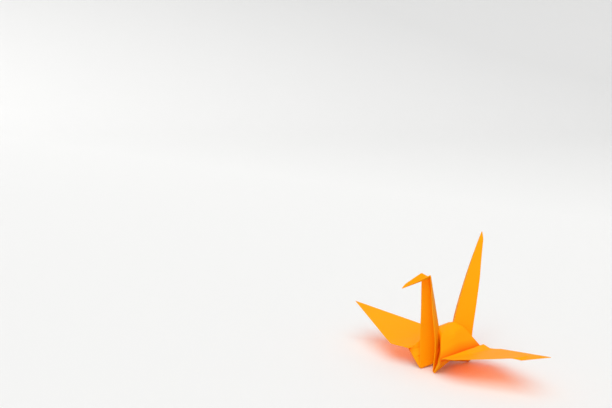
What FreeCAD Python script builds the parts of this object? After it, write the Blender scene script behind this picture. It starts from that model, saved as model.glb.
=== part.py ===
"""A crane folded from one square sheet of paper, as one closed solid.

The sheet is worked out in its flat folded state, where u runs along the body and v up it. Each panel
is then set on the surface that it lies on in the opened crane, at the height of its layer, and the
panels are joined along their creases by rounded folds. X is forward, Y is to the crane's left and Z
is up. The crane rests on the low corners of its body.
"""
import FreeCAD, Part
import math
import os

# Driving sizes, in millimetres and degrees
SHEET = 150.0               # side of the square sheet
PAPER = 0.10                # thickness of the paper
PITCH = 0.14                # from one layer to the next where layers lie together

BODY_HALF = 3.7             # from the middle plane to a low corner of the body
BASE_UP = 5.2               # height of the bottom centre, from which the neck and the tail rise
FOOT_HALF = 0.9             # from the middle plane to the bottom of the body's middle line
FOOT_LOW = 0.3              # and how far that is below the foot
HINGE_OUT = 11.4            # from the middle plane to a corner of the wing's hinge
HINGE_UP = 11.9             # height of the hinge's corners
HINGE_HALF = 17.3           # half the length of the hinge
HINGE_BOW = 0.5             # how far the middle of the hinge stands out
BACK_UP = 24.8              # height of the top of the back
BACK_SHARE = 0.61           # where the puffed back turns over into its top, from hinge to centre
SHOULDER_SOFT = 0.14         # share of that way over which the turn is rounded, to each side
SHOULDER = {1: (8.6, 4.0, 22.5), -1: (-9.0, 4.2, 24.7)}     # the turn on the fold, front and rear
SHOULDER_OUT = 6.3          # the turn on the middle line: out from the middle plane
SHOULDER_UP = 23.1          # and its height
NOTCH = {1: (7.0, 0.0, 23.4), -1: (-8.4, 0.0, 26.2)}        # the turn between the walls

EDGE_LEFT = 1.0             # half the width that the narrowed legs keep at their tips
LEG_OPEN = {1: 30.0, -1: 42.0}      # angle of the neck's and tail's walls to the middle plane
OPEN_BY = 24.0              # how far up a leg its walls have opened that much
HEAD_OPEN = 43.0            # the same angle at the head
HEAD_FROM = 30.0            # where along the neck its walls start to open that far
FOOT_LEAN = {1: 25.0, -1: 24.0}     # lean of the neck's and the tail's ridge at the very foot
FOOT_PULL = {1: (1.9, -3.2), -1: (0.6, -3.2)}       # how far out and down the low corners are drawn
FOOT_PULL_BY = 15.0         # how far up the walls follow them
FOOT_BY = 12.0              # where along the ridge that has gone over to the next
NECK_LEAN = (13.5, 14.5)    # lean of the neck above its foot and at the head
TAIL_LEAN = (14.5, 30.0)    # lean of the tail above its foot and at its tip
NECK_LENGTH = 52.2          # along the neck's ridge, up to the head
BEAK_TILT = 95.5            # from straight up to the beak's ridge
BEAK_TURN = 3.0             # and how far it turns to the crane's right
TAIL_LONG = 1.02            # how much further the tail's paper reaches than the neck's
TAIL_WIDE = 1.3             # how much less the tail was narrowed than the neck
WIDE_FROM = 20.0            # where along the tail that starts
WIDE_BY = 50.0              # and where it is complete
RIDGE_HALF = 0.1            # half the gap between the two walls at their ridge

BODY_SLOPE = 58.0           # slope of the body's side where the wing bends away
WING_BEND = 2.6             # length of paper in the bend
WING_SLOPE = {1: (-1.5, 12.9), -1: (0.3, 13.2)}      # left and right wing, at root and tip
WING_LEVEL = {1: 4.0, -1: 7.0}      # how far out the root's slope goes
WING_RISE = {1: 9.5, -1: 20.0}      # where the tip's slope starts
WING_TWIST = {1: 4.2, -1: 0.0}     # how far the wing's front is turned up, in degrees
TWIST_BY = 7.0              # how far out from the hinge that is complete
WING_SWEEP = {1: 0.0, -1: 0.8}     # how far forward the wing's tip lies of its middle line
WING_DROOP = {1: 12.0, -1: 0.0}     # how far the wing's front half hangs down near the tip
DROOP_FROM = 38.0           # where along the wing that starts
DROOP_BY = 47.0             # and where it is complete

# How far a panel stops short of its crease, so that the fold has room to turn
HINGE_ROOM = 0.5 * PITCH
EDGE_ROOM = 3.5 * PITCH
LEG_ROOM = 1.5 * PITCH
TURN_ROOM = 1.2
HEAD_ROOM = 0.5
FOOT_ROOM = 0.9
OPEN_ROOM = 0.35
SEAM_ROOM = 0.12
RAW_ROOM = 0.75
INNER_ROOM = 0.40
FLAP_ROOM = 0.30
WALL_ROOM = 0.30

# The flat folded crane, which follows from the sheet
LEG = SHEET / 2
BACK = SHEET / math.sqrt(2) - LEG
BISECTOR = math.tan(math.radians(11.25))
HINGE_V = (BACK - BISECTOR * LEG) / (1 + BISECTOR)
NARROW = (BACK - HINGE_V - EDGE_LEFT) / (HINGE_V + LEG)


def edge_u(v):
    """Half the width of the narrowed crane at the height v."""
    return EDGE_LEFT + NARROW * (v + LEG)


def edge_meets(tip):
    """Where the narrowing crease meets the line from a tip of the sheet to its widest point."""
    rise = tip / BACK
    v = (tip - rise * (EDGE_LEFT + NARROW * LEG)) / (1 + rise * NARROW)
    return (edge_u(v), v)


def mirrored(point):
    """A flat point folded over the narrowing crease."""
    size = 1 + NARROW * NARROW
    off = (point[0] - edge_u(point[1])) / size
    return (point[0] - 2 * off, point[1] + 2 * off * NARROW)


TIP = (0.0, LEG)
FOOT_TIP = (0.0, -LEG)
CENTRE = (0.0, BACK)
FOOT = (0.0, 0.0)
INNER = mirrored((BACK, 0.0))
SIDE = (edge_u(0.0), 0.0)
HINGE = (edge_u(HINGE_V), HINGE_V)
CORNER = edge_meets(LEG)
HEEL = edge_meets(-LEG)

# The eight panels of a quarter of the sheet: the corners in order, the crease that follows each
# corner, and the panel's layer in the body, counted outward
PANELS = {
    "a": ([TIP, CORNER, HEEL, FOOT_TIP], ["ab", "La", "ad", "raw"], 3),
    "a2": ([CORNER, INNER, HEEL], ["ab2", "ad2", "La"], 4),
    "b": ([TIP, CORNER, SIDE, FOOT], ["ab", "Lb", "bc", "middle"], 2),
    "b2": ([CORNER, INNER, SIDE], ["ab2", "bc2", "Lb"], 5),
    "c": ([CENTRE, HINGE, SIDE, FOOT], ["cd", "Lc", "bc", "middle"], 1),
    "c2": ([HINGE, INNER, SIDE], ["cd2", "bc2", "Lc"], 6),
    "d": ([CENTRE, HINGE, HEEL, FOOT_TIP], ["cd", "Ld", "ad", "ridge"], 0),
    "d2": ([HINGE, INNER, HEEL], ["cd2", "ad2", "Ld"], 7),
}
LEG_LAYER = {"d": 0, "a": 1, "a2": 2, "d2": 3}


def room(crease, zone):
    """How far a panel stops short of one of its creases."""
    if crease == "turn":
        return TURN_ROOM
    if crease == "head":
        return HEAD_ROOM
    if crease[0] == "L":
        return EDGE_ROOM if zone == "body" else LEG_ROOM
    if crease in ("bc", "bc2"):
        return FOOT_ROOM
    if crease == "cd":
        return OPEN_ROOM
    if crease == "middle":
        return 0.0
    if crease == "raw":
        return SEAM_ROOM if zone == "body" else RAW_ROOM
    if crease == "ad2":
        return INNER_ROOM if zone == "body" else FLAP_ROOM
    if crease == "ridge":
        return INNER_ROOM if zone == "body" else SEAM_ROOM
    return HINGE_ROOM


def add(*vectors):
    return tuple(sum(c) for c in zip(*vectors))


def scaled(vector, factor):
    return tuple(c * factor for c in vector)


def less(a, b):
    return tuple(p - q for p, q in zip(a, b))


def dot(a, b):
    return sum(p * q for p, q in zip(a, b))


def cross(a, b):
    return (
        a[1] * b[2] - a[2] * b[1],
        a[2] * b[0] - a[0] * b[2],
        a[0] * b[1] - a[1] * b[0],
    )


def unit(vector):
    size = math.sqrt(dot(vector, vector))
    return scaled(vector, 1 / size) if size > 1e-12 else (0.0, 0.0, 0.0)


def between(a, b, t):
    return tuple(p + (q - p) * t for p, q in zip(a, b))


# The surfaces, each for one end of the crane (+1 the front) and one side (+1 the left)

def lean(end, s):
    """Lean of the neck's or the tail's ridge, in radians, at the length s from its foot."""
    foot, top = NECK_LEAN if end > 0 else TAIL_LEAN
    length = NECK_LENGTH if end > 0 else LEG
    low = max(1.0 - max(s, 0.0) / FOOT_BY, 0.0) ** 2
    return math.radians(foot + (top - foot) * min(max(s / length, 0.0), 1.0) + (FOOT_LEAN[end] - foot) * low)


def turn_slope(end):
    """Slope of the crease that turns a leg up, which is half of its lean."""
    return math.tan(lean(end, 0.0) / 2)


def ridge_point(end, s):
    x, z = WALL_ROOM * end, BASE_UP
    steps = 24
    for i in range(steps):
        angle = lean(end, s * (i + 0.5) / steps)
        x += end * math.sin(angle) * s / steps
        z += math.cos(angle) * s / steps
    return (x, 0.0, z)


def leg_open(end, s):
    """Angle between a leg's wall and the middle plane, which grows from the foot up."""
    foot = math.asin(BODY_HALF / SIDE[0])
    t = min(max(s / OPEN_BY, 0.0), 1.0)
    wide = foot + (math.radians(LEG_OPEN[end]) - foot) * t * (2 - t)
    if end < 0:
        return wide
    t = min(max((s - HEAD_FROM) / (NECK_LENGTH - HEAD_FROM), 0.0), 1.0)
    return wide + (math.radians(HEAD_OPEN) - wide) * t * t


def leg_surface(end, side, u, v):
    s = -v
    angle = lean(end, s)
    wide = (end * math.cos(angle), 0.0, -math.sin(angle))
    out = leg_open(end, s)
    pull = u / SIDE[0] * max(1.0 - max(s, 0.0) / FOOT_PULL_BY, 0.0) ** 2
    if end < 0:
        t = min(max((s - WIDE_FROM) / (WIDE_BY - WIDE_FROM), 0.0), 1.0)
        u *= 1 + (TAIL_WIDE - 1) * t
        s *= TAIL_LONG
    point = add(ridge_point(end, s), scaled(wide, u * math.cos(out)))
    away, down = FOOT_PULL[end]
    return add(point, (end * away * pull, side * (u * math.sin(out) + RIDGE_HALF), down * pull))


def beak_surface(end, side, u, v):
    s = -v - NECK_LENGTH
    tilt = math.radians(BEAK_TILT)
    turn = math.radians(BEAK_TURN)
    out = math.radians(HEAD_OPEN)
    along = scaled((math.sin(tilt) * math.cos(turn), -math.sin(turn), math.cos(tilt)), s)
    up = scaled((-math.cos(tilt), 0.0, math.sin(tilt)), u * math.cos(out))
    point = add(ridge_point(end, NECK_LENGTH), along, up)
    return add(point, (0.0, side * (u * math.sin(out) + RIDGE_HALF), 0.0))


def low_corner(end):
    """The flat point where the turning crease meets the body's edge."""
    slope = turn_slope(end)
    u = SIDE[0] / (1 + NARROW * slope)
    return (u, -u * slope)


def body_edge(end, side, v):
    """The body's edge from the low corner up to the hinge, and on to the top of the back."""
    low = low_corner(end)
    corner = leg_surface(end, side, low[0], low[1])
    hinge = (end * HINGE_HALF, side * HINGE_OUT, HINGE_UP)
    if v <= HINGE_V:
        return between(corner, hinge, (v - low[1]) / (HINGE_V - low[1]))
    x, y, z = SHOULDER[end]
    top = (end * WALL_ROOM, 0.0, BACK_UP)
    return over_shoulder(hinge, (x, side * y, z), top, (v - HINGE_V) / (BACK - HINGE_V))


def over_shoulder(low, turn, top, t):
    """A path from low to top that bends softly at the turn, where the share t is BACK_SHARE."""
    half = SHOULDER_SOFT
    if t < BACK_SHARE - half:
        return between(low, turn, t / BACK_SHARE)
    if t > BACK_SHARE + half:
        return between(turn, top, (t - BACK_SHARE) / (1 - BACK_SHARE))
    start = between(low, turn, (BACK_SHARE - half) / BACK_SHARE)
    stop = between(turn, top, half / (1 - BACK_SHARE))
    k = (t - BACK_SHARE + half) / (2 * half)
    return between(between(start, turn, k), between(turn, stop, k), k)


def body_middle(side, v):
    """The middle line of one side of the body, from its foot over the hinge to the top."""
    hinge = (0.0, side * (HINGE_OUT + HINGE_BOW), HINGE_UP)
    if v <= HINGE_V:
        return between((0.0, side * FOOT_HALF, BASE_UP - FOOT_LOW), hinge, v / HINGE_V)
    turn = (0.0, side * SHOULDER_OUT, SHOULDER_UP)
    return over_shoulder(hinge, turn, (0.0, 0.0, BACK_UP), (v - HINGE_V) / (BACK - HINGE_V))


def side_surface(end, side, u, v):
    """The body's side and, above the hinge, the puffed back."""
    wide = edge_u(v) if v <= HINGE_V else max(BACK - v, 1e-6)
    return between(body_middle(side, v), body_edge(end, side, v), u / wide)


def wall_surface(end, side, u, v):
    """The wall inside the body's end, from the body's edge in to the middle plane."""
    wide = edge_u(v) if v <= HINGE_V else max(BACK - v, 1e-6)
    foot = (end * WALL_ROOM, 0.0, BASE_UP)
    top = (end * WALL_ROOM, 0.0, BACK_UP)
    turn_v = HINGE_V + (BACK - HINGE_V) * BACK_SHARE
    if v < HINGE_V:
        valley = between(foot, NOTCH[end], v / turn_v)
    else:
        low = between(foot, NOTCH[end], HINGE_V / turn_v)
        valley = over_shoulder(low, NOTCH[end], top, (v - HINGE_V) / (BACK - HINGE_V))
    return between(valley, body_edge(end, side, v), u / wide)


def wing_slope(side, d):
    """Slope of the wing, in radians, at the distance d from its hinge."""
    root, tip = WING_SLOPE[side]
    if d < WING_BEND:
        return math.radians(BODY_SLOPE + (root - BODY_SLOPE) * d / WING_BEND)
    level = WING_LEVEL[side]
    t = min(max((d - level) / (WING_RISE[side] - level), 0.0), 1.0)
    return math.radians(root + (tip - root) * t * t * (3 - 2 * t))


def wing_surface(end, side, u, v):
    d = v - HINGE_V
    steps = 60
    out, up = 0.0, 0.0
    for i in range(steps):
        slope = wing_slope(side, d * (i + 0.5) / steps)
        out += math.cos(slope) * d / steps
        up += math.sin(slope) * d / steps
    root = side_surface(end, side, u * HINGE[0] / edge_u(HINGE_V), HINGE_V)
    if end > 0:
        t = min(max((d - DROOP_FROM) / (DROOP_BY - DROOP_FROM), 0.0), 1.0)
        up -= u * math.tan(math.radians(WING_DROOP[side])) * t * t * (3 - 2 * t)
    t = min(max(d / TWIST_BY, 0.0), 1.0)
    up += end * u * math.tan(math.radians(WING_TWIST[side])) * t * t * (3 - 2 * t)
    return add(root, (WING_SWEEP[side] * max(d, 0.0) / (LEG - HINGE_V), side * out, up))


def surface_for(panel, zone, v):
    if zone == "leg":
        return leg_surface
    if zone == "beak":
        return beak_surface
    if panel == "d":
        return wall_surface
    if v > HINGE_V and panel != "c":
        return wing_surface
    return side_surface


def facing(surface, end, side, u, v):
    """The unit normal of a surface, pointing away from the middle plane."""
    step = 0.02
    u = max(u, step)
    du = less(surface(end, side, u + step, v), surface(end, side, u - step, v))
    dv = less(surface(end, side, u, v + step), surface(end, side, u, v - step))
    normal = unit(cross(du, dv))
    return normal if normal[1] * side > 0 else scaled(normal, -1)


def place(panel, zone, end, side, u, v):
    """The point of a panel at its layer's height over the surface that it follows."""
    layer = PANELS[panel][2]
    if zone == "leg":
        layer = -LEG_LAYER[panel]
    elif zone == "beak":
        layer = LEG_LAYER[panel]
    surface = surface_for(panel, zone, v)
    ends = (1, -1) if u < 1e-6 and panel in ("b", "c") else (end,)
    normals = []
    for e in ends:
        if abs(v - HINGE_V) < 1e-6 and zone == "body" and panel != "d":
            upper = surface_for(panel, zone, HINGE_V + 0.1)
            normals.append(facing(side_surface, e, side, u, v - 0.1))
            normals.append(facing(upper, e, side, u, v + 0.1))
        else:
            normals.append(facing(surface, e, side, u, v))
    normal = unit(add(*normals))
    return add(surface(end, side, u, v), scaled(normal, layer * PITCH))


# Flat polygons

def clipped(polygon, normal, limit):
    """The part of a convex flat polygon where normal . point is at least the limit."""
    result = []
    for i, p in enumerate(polygon):
        q = polygon[(i + 1) % len(polygon)]
        fp, fq = dot(normal, p) - limit, dot(normal, q) - limit
        if fp >= -1e-9:
            result.append(p)
        if (fp > 1e-9 and fq < -1e-9) or (fp < -1e-9 and fq > 1e-9):
            result.append(between(p, q, fp / (fp - fq)))
    return result


def half_planes(corners, creases):
    """A line for each side of a polygon: its crease, inward normal and level."""
    centre = scaled(add(*corners), 1 / len(corners))
    lines = []
    for i, p in enumerate(corners):
        q = corners[(i + 1) % len(corners)]
        normal = unit((q[1] - p[1], p[0] - q[0]))
        if dot(normal, less(centre, p)) < 0:
            normal = scaled(normal, -1)
        lines.append((creases[i], normal, dot(normal, p)))
    return lines


def turn_line(end):
    slope = turn_slope(end)
    return unit((slope, 1.0)), 0.0


def head_line():
    """The head's crease on the flat panel, steeper in the opened walls than it is there."""
    turn = (math.radians(BEAK_TILT) - lean(1, NECK_LENGTH)) / 2
    normal = unit((math.cos(turn) * math.cos(math.radians(HEAD_OPEN)), math.sin(turn)))
    return normal, dot(normal, (0.0, -NECK_LENGTH))


def zones(panel, end):
    """The parts of a panel between the turned creases: their zone and their lines."""
    corners, creases, layer = PANELS[panel]
    lines = half_planes(corners, creases)
    if panel not in LEG_LAYER:
        return [("body", lines)]
    normal, level = turn_line(end)
    body = ("body", lines + [("turn", normal, level)])
    leg = lines + [("turn", scaled(normal, -1), -level)]
    if end < 0:
        return [body, ("leg", leg)]
    normal, level = head_line()
    neck = ("leg", leg + [("head", normal, level)])
    beak = ("beak", lines + [("head", scaled(normal, -1), -level)])
    return [body, neck, beak]


def rows(panel, zone):
    """Heights at which a panel is cut into rows, so that it can follow a curved surface."""
    if zone == "leg":
        return [-LEG * i / 12 for i in range(1, 12)]
    if zone == "beak":
        return []
    levels = [HINGE_V * 0.5, HINGE_V]
    if panel in ("c", "d"):
        shares = (0.16, 0.32, 0.47, 0.54, 0.61, 0.68, 0.75, 0.85, 0.93)
        levels += [HINGE_V + (BACK - HINGE_V) * t for t in shares]
    else:
        levels += [HINGE_V + WING_BEND * t for t in (0.33, 0.67, 1.0)]
        start = HINGE_V + WING_BEND
        levels += [start + (LEG - start) * i / 12 for i in range(1, 12)]
    return levels


points = []
triangles = []
folds = {}


def panel_mesh(panel, zone, lines, end, side):
    """Adds one panel's faces, and keeps its vertices along each crease for the folds."""
    outline = [(-1.0, -2 * LEG), (LEG, -2 * LEG), (LEG, 2 * LEG), (-1.0, 2 * LEG)]
    for crease, normal, level in lines:
        outline = clipped(outline, normal, level + room(crease, zone))
    if len(outline) < 3:
        return
    known = {}

    def vertex(p):
        key = (round(p[0], 6), round(p[1], 6))
        if key not in known:
            shared = panel in ("b", "c") and p[0] < 1e-6
            name = (panel, side, key[1])
            if shared and name in middle:
                known[key] = middle[name]
                return known[key]
            points.append(place(panel, zone, end, side, p[0], p[1]))
            known[key] = len(points) - 1
            if shared:
                middle[name] = known[key]
        return known[key]

    levels = sorted(set(rows(panel, zone)))
    bands = [outline]
    for level in levels:
        top = bands.pop()
        low = clipped(top, (0.0, -1.0), -level)
        high = clipped(top, (0.0, 1.0), level)
        bands += [b for b in (low, high) if len(b) > 2]
    for band in bands:
        corners = []
        for p in band:
            i = vertex(p)
            if i not in corners:
                corners.append(i)
        for i in range(1, len(corners) - 1):
            triangles.append((corners[0], corners[i], corners[i + 1]))
    for crease, normal, level in lines:
        inset = room(crease, zone)
        if crease in ("middle", "raw"):
            continue
        along = (-normal[1], normal[0])
        if along[1] > 1e-6 or (abs(along[1]) <= 1e-6 and along[0] < 0):
            along = scaled(along, -1)
        chain = []
        for key, index in known.items():
            if abs(dot(normal, key) - level - inset) < 1e-4:
                u, v = add(key, scaled(normal, -inset))
                reach = place(panel, zone, end, side, max(u, 0.0), v)
                chain.append((dot(along, key), index, less(reach, points[index])))
        name = (crease, side, end) + (() if crease in ("turn", "head") else (zone,))
        if crease in ("turn", "head"):
            name += (panel,)
        if crease == "ridge":
            name = (crease, end, zone)
        if len(chain) > 1:
            folds.setdefault(name, []).append(sorted(chain))


def on_chain(chain, t):
    """The point and the reach of a chain at the share t of its length."""
    first, last = chain[0][0], chain[-1][0]
    at = first + (last - first) * t
    for (p, i, reach_i), (q, j, reach_j) in zip(chain, chain[1:]):
        if at <= q or (q, j) == (chain[-1][0], chain[-1][1]):
            k = (at - p) / (q - p)
            return between(points[i], points[j], k), between(reach_i, reach_j, k)


def share(chain):
    first, last = chain[0][0], chain[-1][0]
    return [((p - first) / (last - first), i) for p, i, reach in chain]


def zipped(one, two):
    """Faces between two rows of vertices."""
    i = j = 0
    while i < len(one) - 1 or j < len(two) - 1:
        if j == len(two) - 1 or (i < len(one) - 1 and one[i + 1][0] <= two[j + 1][0]):
            triangles.append((one[i][1], one[i + 1][1], two[j][1]))
            i += 1
        else:
            triangles.append((one[i][1], two[j + 1][1], two[j][1]))
            j += 1


def fold(one, two):
    """The rounded fold between two panels."""
    longer = one if len(one) >= len(two) else two
    previous = share(one)
    for angle in (60.0, 120.0):
        row = []
        for t, index in share(longer):
            a, reach_a = on_chain(one, t)
            b, reach_b = on_chain(two, t)
            centre = between(a, b, 0.5)
            half = scaled(less(a, b), 0.5)
            way = unit(add(unit(reach_a), unit(reach_b)))
            crease = between(add(a, reach_a), add(b, reach_b), 0.5)
            out = min(math.sqrt(dot(half, half)), max(dot(less(crease, centre), way), 0.02))
            swing = math.radians(angle)
            point = add(centre, scaled(half, math.cos(swing)), scaled(way, out * math.sin(swing)))
            points.append(point)
            row.append((t, len(points) - 1))
        zipped(previous, row)
        previous = row
    zipped(previous, share(two))


middle = {}
for side in (1, -1):
    for end in (1, -1):
        for panel in PANELS:
            for zone, lines in zones(panel, end):
                panel_mesh(panel, zone, lines, end, side)
for one, two in folds.values():
    fold(one, two)


def capped(faces):
    """The faces with a cap on each small opening where creases meet at a point."""
    count = {}
    for f in faces:
        for i in range(3):
            edge = frozenset((f[i], f[(i + 1) % 3]))
            count[edge] = count.get(edge, 0) + 1
    beside = {}
    for edge, used in count.items():
        if used == 1:
            p, q = edge
            beside.setdefault(p, []).append(q)
            beside.setdefault(q, []).append(p)
    caps = []
    done = set()
    for start in beside:
        if start in done:
            continue
        loop = [start]
        while True:
            onward = [p for p in beside[loop[-1]] if p not in loop]
            if not onward:
                break
            loop.append(onward[0])
        done.update(loop)
        length = sum(math.dist(points[p], points[q]) for p, q in zip(loop, loop[1:] + loop[:1]))
        if length > SHEET:
            continue
        points.append(scaled(add(*(points[p] for p in loop)), 1 / len(loop)))
        middle_point = len(points) - 1
        for p, q in zip(loop, loop[1:] + loop[:1]):
            caps.append((p, q, middle_point))
    return faces + caps


def oriented(faces):
    """The same faces, all turned the same way round."""
    by_edge = {}
    for n, f in enumerate(faces):
        for i in range(3):
            by_edge.setdefault(frozenset((f[i], f[(i + 1) % 3])), []).append(n)
    turned = {}
    for start in range(len(faces)):
        if start in turned:
            continue
        turned[start] = faces[start]
        queue = [start]
        while queue:
            n = queue.pop()
            f = turned[n]
            for i in range(3):
                p, q = f[i], f[(i + 1) % 3]
                for m in by_edge[frozenset((p, q))]:
                    if m in turned:
                        continue
                    g = faces[m]
                    same = any(g[k] == p and g[(k + 1) % 3] == q for k in range(3))
                    turned[m] = (g[0], g[2], g[1]) if same else g
                    queue.append(m)
    return [turned[n] for n in range(len(faces))]


def thickened(faces):
    """The closed mesh of the sheet with its thickness."""
    normals = [(0.0, 0.0, 0.0)] * len(points)
    for f in faces:
        a, b, c = (points[i] for i in f)
        area = cross(less(b, a), less(c, a))
        for i in f:
            normals[i] = add(normals[i], area)
    half = [scaled(unit(n), PAPER / 2) for n in normals]
    count = len(points)
    skin = [add(p, h) for p, h in zip(points, half)] + [less(p, h) for p, h in zip(points, half)]
    closed = list(faces) + [(c + count, b + count, a + count) for a, b, c in faces]
    used = {}
    for f in faces:
        for i in range(3):
            used[(f[i], f[(i + 1) % 3])] = True
    for p, q in used:
        if (q, p) not in used:
            closed.append((q, p, p + count))
            closed.append((q, p + count, q + count))
    return skin, closed


def standing(skin):
    """The same points, pitched until front and rear stand level, over the box's bottom centre."""
    front = min((p for p in skin if p[0] > 0), key=lambda p: p[2])
    rear = min((p for p in skin if p[0] < 0), key=lambda p: p[2])
    pitch = math.atan2(front[2] - rear[2], front[0] - rear[0])
    c, s = math.cos(pitch), math.sin(pitch)
    level = [(x * c + z * s, y, z * c - x * s) for x, y, z in skin]
    low = [min(p[i] for p in level) for i in range(3)]
    high = [max(p[i] for p in level) for i in range(3)]
    foot = ((low[0] + high[0]) / 2, (low[1] + high[1]) / 2, low[2])
    return [less(p, foot) for p in level]


faces = oriented(capped(triangles))
skin, closed = thickened(faces)
skin = standing(skin)

shell = Part.Shape()
shell.makeShapeFromMesh(([FreeCAD.Vector(*p) for p in skin], closed), 1e-5)
solid = Part.makeSolid(shell)
if solid.Volume < 0:
    solid.reverse()

os.makedirs("parts", exist_ok=True)
solid.exportStep("parts/folded_crane.step")
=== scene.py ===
"""The look of the folded crane: dyed paper on a pale studio floor."""
import math

import bmesh
import bpy
from mathutils import Matrix, Vector


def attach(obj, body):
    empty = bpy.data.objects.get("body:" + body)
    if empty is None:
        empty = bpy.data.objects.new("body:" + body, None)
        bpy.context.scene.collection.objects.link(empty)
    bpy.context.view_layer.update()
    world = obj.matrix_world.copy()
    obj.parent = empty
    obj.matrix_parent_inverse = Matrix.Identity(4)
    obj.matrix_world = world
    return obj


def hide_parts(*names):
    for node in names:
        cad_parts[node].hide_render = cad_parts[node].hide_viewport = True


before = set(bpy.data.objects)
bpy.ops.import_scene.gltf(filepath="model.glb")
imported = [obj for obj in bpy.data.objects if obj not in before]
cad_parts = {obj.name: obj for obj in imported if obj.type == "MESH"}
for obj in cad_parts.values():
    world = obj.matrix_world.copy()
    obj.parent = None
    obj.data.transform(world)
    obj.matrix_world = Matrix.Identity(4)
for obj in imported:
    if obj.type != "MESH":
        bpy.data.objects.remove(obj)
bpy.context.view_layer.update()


# The photograph's frame and the camera that it was taken with, in pixels, degrees and metres
FRAME_WIDTH = 612
FRAME_HEIGHT = 408
FOCAL = 1100.0
AROUND = 47.59          # from straight ahead of the crane toward its left
ABOVE = 11.73
DEPTH = 0.62488
AIM = Vector((-0.0025, 0.0, 0.0202))    # the point of the crane seen at the pixel below
AIM_AT = (445.0, 331.2)
SENSOR = 36.0           # the sensor's width, in millimetres
CLIP = (0.01, 20.0)     # the nearest and the farthest that the camera sees

# The light: a soft key over the camera's shoulder, a wide lamp overhead and a white room
SUN_AROUND = 38.0       # from straight ahead of the crane toward its left
SUN_ABOVE = 43.0
SUN_WIDE = 34.0         # how wide the lamp looks from the crane
SUN_STRENGTH = 0.95
TOP_AROUND = 46.0
TOP_ABOVE = 70.0
TOP_WIDE = 60.0
TOP_STRENGTH = 1.68
SKY_STRENGTH = 0.40

# Colours in linear light
PAPER = (0.96, 0.36, 0.001, 1.0)
SHADED = (0.93, 0.23, 0.0, 1.0)         # shade painted on the body's wall low down
CREASE = (0.78, 0.085, 0.0, 1.0)        # and deep in the crease between body and wing
THROUGH = (0.95, 0.55, 0.15, 1.0)       # light that gets through each face of the paper
# The floor's colour near the crane, and its painted shade far back on the backdrop
FLOOR = (0.81, 0.81, 0.802, 1.0)
BACKDROP_IN_SHADE = (0.59, 0.59, 0.587, 1.0)
GREY_FROM = 0.35        # where the painted shade starts to grey the floor, as a share of its depth
RIGHTWARD = 0.5         # the same painted shade, greying for each metre to the camera's right

# The paper's gloss
ROUGHNESS = 0.55
INDEX = 1.38
SPECULAR = 0.12
FLOOR_ROUGHNESS = 0.8

# The paper's surface: size, detail, height and share of each relief, with lengths in metres
COCKLE = (0.012, 1.0, 0.0008, 0.5)
FIBRE = (0.0005, 4.0, 0.00003, 0.35)
SHARP_FROM = 12.0       # folds are creases above this angle, in degrees
MERGE = 1e-6            # corners nearer than this are one

# How far out from the crane's middle the painted shade starts, is half there, is full and stops
SHADE_FROM = 0.0092
SHADE_HALF = 0.0111
CREASE_AT = 0.0120
SHADE_TO = 0.0122

# The floor and the backdrop behind it, in metres from the crane
FLOOR_NEAR = -1.2
FLOOR_FAR = 0.9
CURVE = 0.6
CURVE_STEPS = 16
BACKDROP_HIGH = 1.6
HALF_WIDE = 3.0


def toward(around, above):
    """The way to something seen from the crane, from two angles in degrees."""
    a, e = math.radians(around), math.radians(above)
    return Vector((math.cos(a) * math.cos(e), math.sin(a) * math.cos(e), math.sin(e)))


def place_camera():
    back = toward(AROUND, ABOVE)
    right = (-back).cross(Vector((0, 0, 1))).normalized()
    up = right.cross(-back)
    across = (AIM_AT[0] - FRAME_WIDTH / 2) / FOCAL
    down = (AIM_AT[1] - FRAME_HEIGHT / 2) / FOCAL
    data = bpy.data.cameras.new("camera")
    data.sensor_width = SENSOR
    data.lens = FOCAL / FRAME_WIDTH * SENSOR
    data.clip_start, data.clip_end = CLIP
    camera = bpy.data.objects.new("camera", data)
    bpy.context.scene.collection.objects.link(camera)
    place = AIM - DEPTH * (-back + across * right - down * up)
    turn = Matrix((right, up, back)).transposed().to_4x4()
    camera.matrix_world = Matrix.Translation(place) @ turn
    bpy.context.scene.camera = camera
    return back


def relief(tree, where, sizes, before=None):
    """A bump from noise, on top of the one before it."""
    size, detail, height, share = sizes
    noise = tree.nodes.new("ShaderNodeTexNoise")
    noise.inputs["Scale"].default_value = 1 / size
    noise.inputs["Detail"].default_value = detail
    tree.links.new(where, noise.inputs["Vector"])
    bump = tree.nodes.new("ShaderNodeBump")
    bump.inputs["Distance"].default_value = height
    bump.inputs["Strength"].default_value = share
    tree.links.new(noise.outputs["Fac"], bump.inputs["Height"])
    if before:
        tree.links.new(before, bump.inputs["Normal"])
    return bump.outputs["Normal"]


def paper_colour_with_painted_shade(tree, where):
    """The paper's colour, with shade painted in toward the creases where the wings leave the body."""
    apart = tree.nodes.new("ShaderNodeSeparateXYZ")
    tree.links.new(where, apart.inputs["Vector"])
    out = tree.nodes.new("ShaderNodeMath")
    out.operation = "ABSOLUTE"
    tree.links.new(apart.outputs["Y"], out.inputs[0])
    share = tree.nodes.new("ShaderNodeMapRange")
    share.inputs["From Min"].default_value = SHADE_FROM
    share.inputs["From Max"].default_value = SHADE_TO
    tree.links.new(out.outputs["Value"], share.inputs["Value"])
    ramp = tree.nodes.new("ShaderNodeValToRGB")
    stops = ramp.color_ramp.elements
    stops[0].color = PAPER
    stops[1].color = PAPER
    for at, colour in ((SHADE_HALF, SHADED), (CREASE_AT, CREASE)):
        stops.new((at - SHADE_FROM) / (SHADE_TO - SHADE_FROM)).color = colour
    tree.links.new(share.outputs["Result"], ramp.inputs["Fac"])
    return ramp.outputs["Color"]


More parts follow.
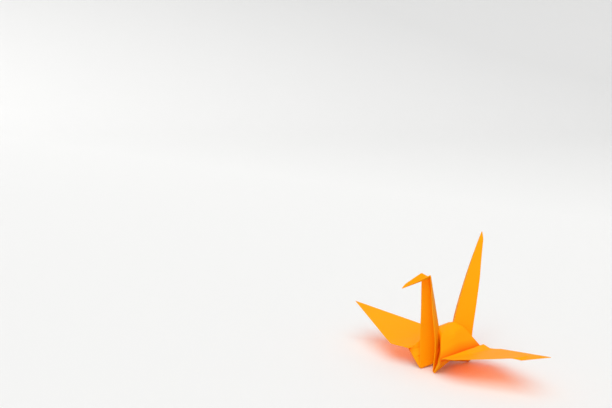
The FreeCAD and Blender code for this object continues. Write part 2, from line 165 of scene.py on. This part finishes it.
def paper_material():
    """Dyed paper with a fine fibre, slightly cockled, that lets orange light through."""
    material = bpy.data.materials.new("orange_paper")
    material.use_nodes = True
    tree = material.node_tree
    shader = tree.nodes["Principled BSDF"]
    shader.inputs["Roughness"].default_value = ROUGHNESS
    shader.inputs["IOR"].default_value = INDEX
    shader.inputs["Specular IOR Level"].default_value = SPECULAR
    where = tree.nodes.new("ShaderNodeTexCoord").outputs["Object"]
    # the paper's colour, with shade painted in toward the creases
    tree.links.new(paper_colour_with_painted_shade(tree, where), shader.inputs["Base Color"])
    cockled = relief(tree, where, COCKLE)
    fibrous = relief(tree, where, FIBRE, cockled)
    tree.links.new(fibrous, shader.inputs["Normal"])
    clear = tree.nodes.new("ShaderNodeBsdfTransparent")
    clear.inputs["Color"].default_value = THROUGH
    path = tree.nodes.new("ShaderNodeLightPath")
    mix = tree.nodes.new("ShaderNodeMixShader")
    tree.links.new(path.outputs["Is Shadow Ray"], mix.inputs["Fac"])
    tree.links.new(shader.outputs["BSDF"], mix.inputs[1])
    tree.links.new(clear.outputs["BSDF"], mix.inputs[2])
    tree.links.new(mix.outputs["Shader"], tree.nodes["Material Output"].inputs["Surface"])
    return material


def folded_paper(node):
    """The crane's own surface, smooth along its curves and sharp at its folds."""
    mesh = node.data.copy()
    mesh.name = "folded_paper"
    form = bmesh.new()
    form.from_mesh(mesh)
    bmesh.ops.remove_doubles(form, verts=form.verts, dist=MERGE)
    for face in form.faces:
        face.smooth = True
    for edge in form.edges:
        bent = len(edge.link_faces) == 2 and edge.calc_face_angle(0.0) > math.radians(SHARP_FROM)
        edge.smooth = not bent
    form.to_mesh(mesh)
    form.free()
    mesh.materials.clear()
    mesh.materials.append(paper_material())
    piece = bpy.data.objects.new("folded_paper", mesh)
    bpy.context.scene.collection.objects.link(piece)
    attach(piece, "root")
    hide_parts("folded_crane")


def floor_material():
    """A white floor with painted shade, greyer with the distance from the crane and to the camera's
    right.
    """
    material = bpy.data.materials.new("floor")
    material.use_nodes = True
    tree = material.node_tree
    shader = tree.nodes["Principled BSDF"]
    shader.inputs["Roughness"].default_value = FLOOR_ROUGHNESS
    where = tree.nodes.new("ShaderNodeAttribute")
    where.attribute_name = "away"
    ramp = tree.nodes.new("ShaderNodeValToRGB")
    ramp.color_ramp.elements[0].position = GREY_FROM
    ramp.color_ramp.elements[0].color = FLOOR
    ramp.color_ramp.elements[1].color = BACKDROP_IN_SHADE
    tree.links.new(where.outputs["Fac"], ramp.inputs["Fac"])
    tree.links.new(ramp.outputs["Color"], shader.inputs["Base Color"])
    return material


def sweep(back):
    """A floor that curves up into a backdrop behind the crane, seen from the camera."""
    wall = FLOOR_FAR + CURVE
    profile = [(FLOOR_NEAR, 0.0), (0.0, 0.0), (FLOOR_FAR, 0.0)]
    for i in range(1, CURVE_STEPS + 1):
        angle = math.radians(90 * i / CURVE_STEPS)
        profile.append((FLOOR_FAR + CURVE * math.sin(angle), CURVE * (1 - math.cos(angle))))
    profile.append((wall, BACKDROP_HIGH))
    away = Vector((-back.x, -back.y, 0)).normalized()
    side = Vector((-away.y, away.x, 0))
    points = []
    greys = []
    for d, z in profile:
        for w in (-HALF_WIDE, HALF_WIDE):
            points.append(away * d + side * w + Vector((0, 0, z)))
            greys.append((d + z) / wall - w * RIGHTWARD)
    faces = [(2 * i, 2 * i + 1, 2 * i + 3, 2 * i + 2) for i in range(len(profile) - 1)]
    mesh = bpy.data.meshes.new("floor")
    mesh.from_pydata(points, [], faces)
    mesh.attributes.new("away", "FLOAT", "POINT").data.foreach_set("value", greys)
    for polygon in mesh.polygons:
        polygon.use_smooth = True
    floor = bpy.data.objects.new("floor", mesh)
    bpy.context.scene.collection.objects.link(floor)
    floor.data.materials.append(floor_material())


def lamp(name, around, above, wide, strength):
    data = bpy.data.lights.new(name, "SUN")
    data.energy = strength
    data.angle = math.radians(wide)
    light = bpy.data.objects.new(name, data)
    bpy.context.scene.collection.objects.link(light)
    light.rotation_euler = toward(around, above).to_track_quat("Z", "Y").to_euler()


def place_lights():
    lamp("key", SUN_AROUND, SUN_ABOVE, SUN_WIDE, SUN_STRENGTH)
    lamp("overhead", TOP_AROUND, TOP_ABOVE, TOP_WIDE, TOP_STRENGTH)
    world = bpy.data.worlds.new("world")
    bpy.context.scene.world = world
    world.use_nodes = True
    sky = world.node_tree.nodes["Background"]
    sky.inputs["Color"].default_value = (1, 1, 1, 1)
    sky.inputs["Strength"].default_value = SKY_STRENGTH


back = place_camera()
sweep(back)
folded_paper(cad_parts["folded_crane"])
place_lights()
bpy.context.scene.view_settings.view_transform = "Standard"
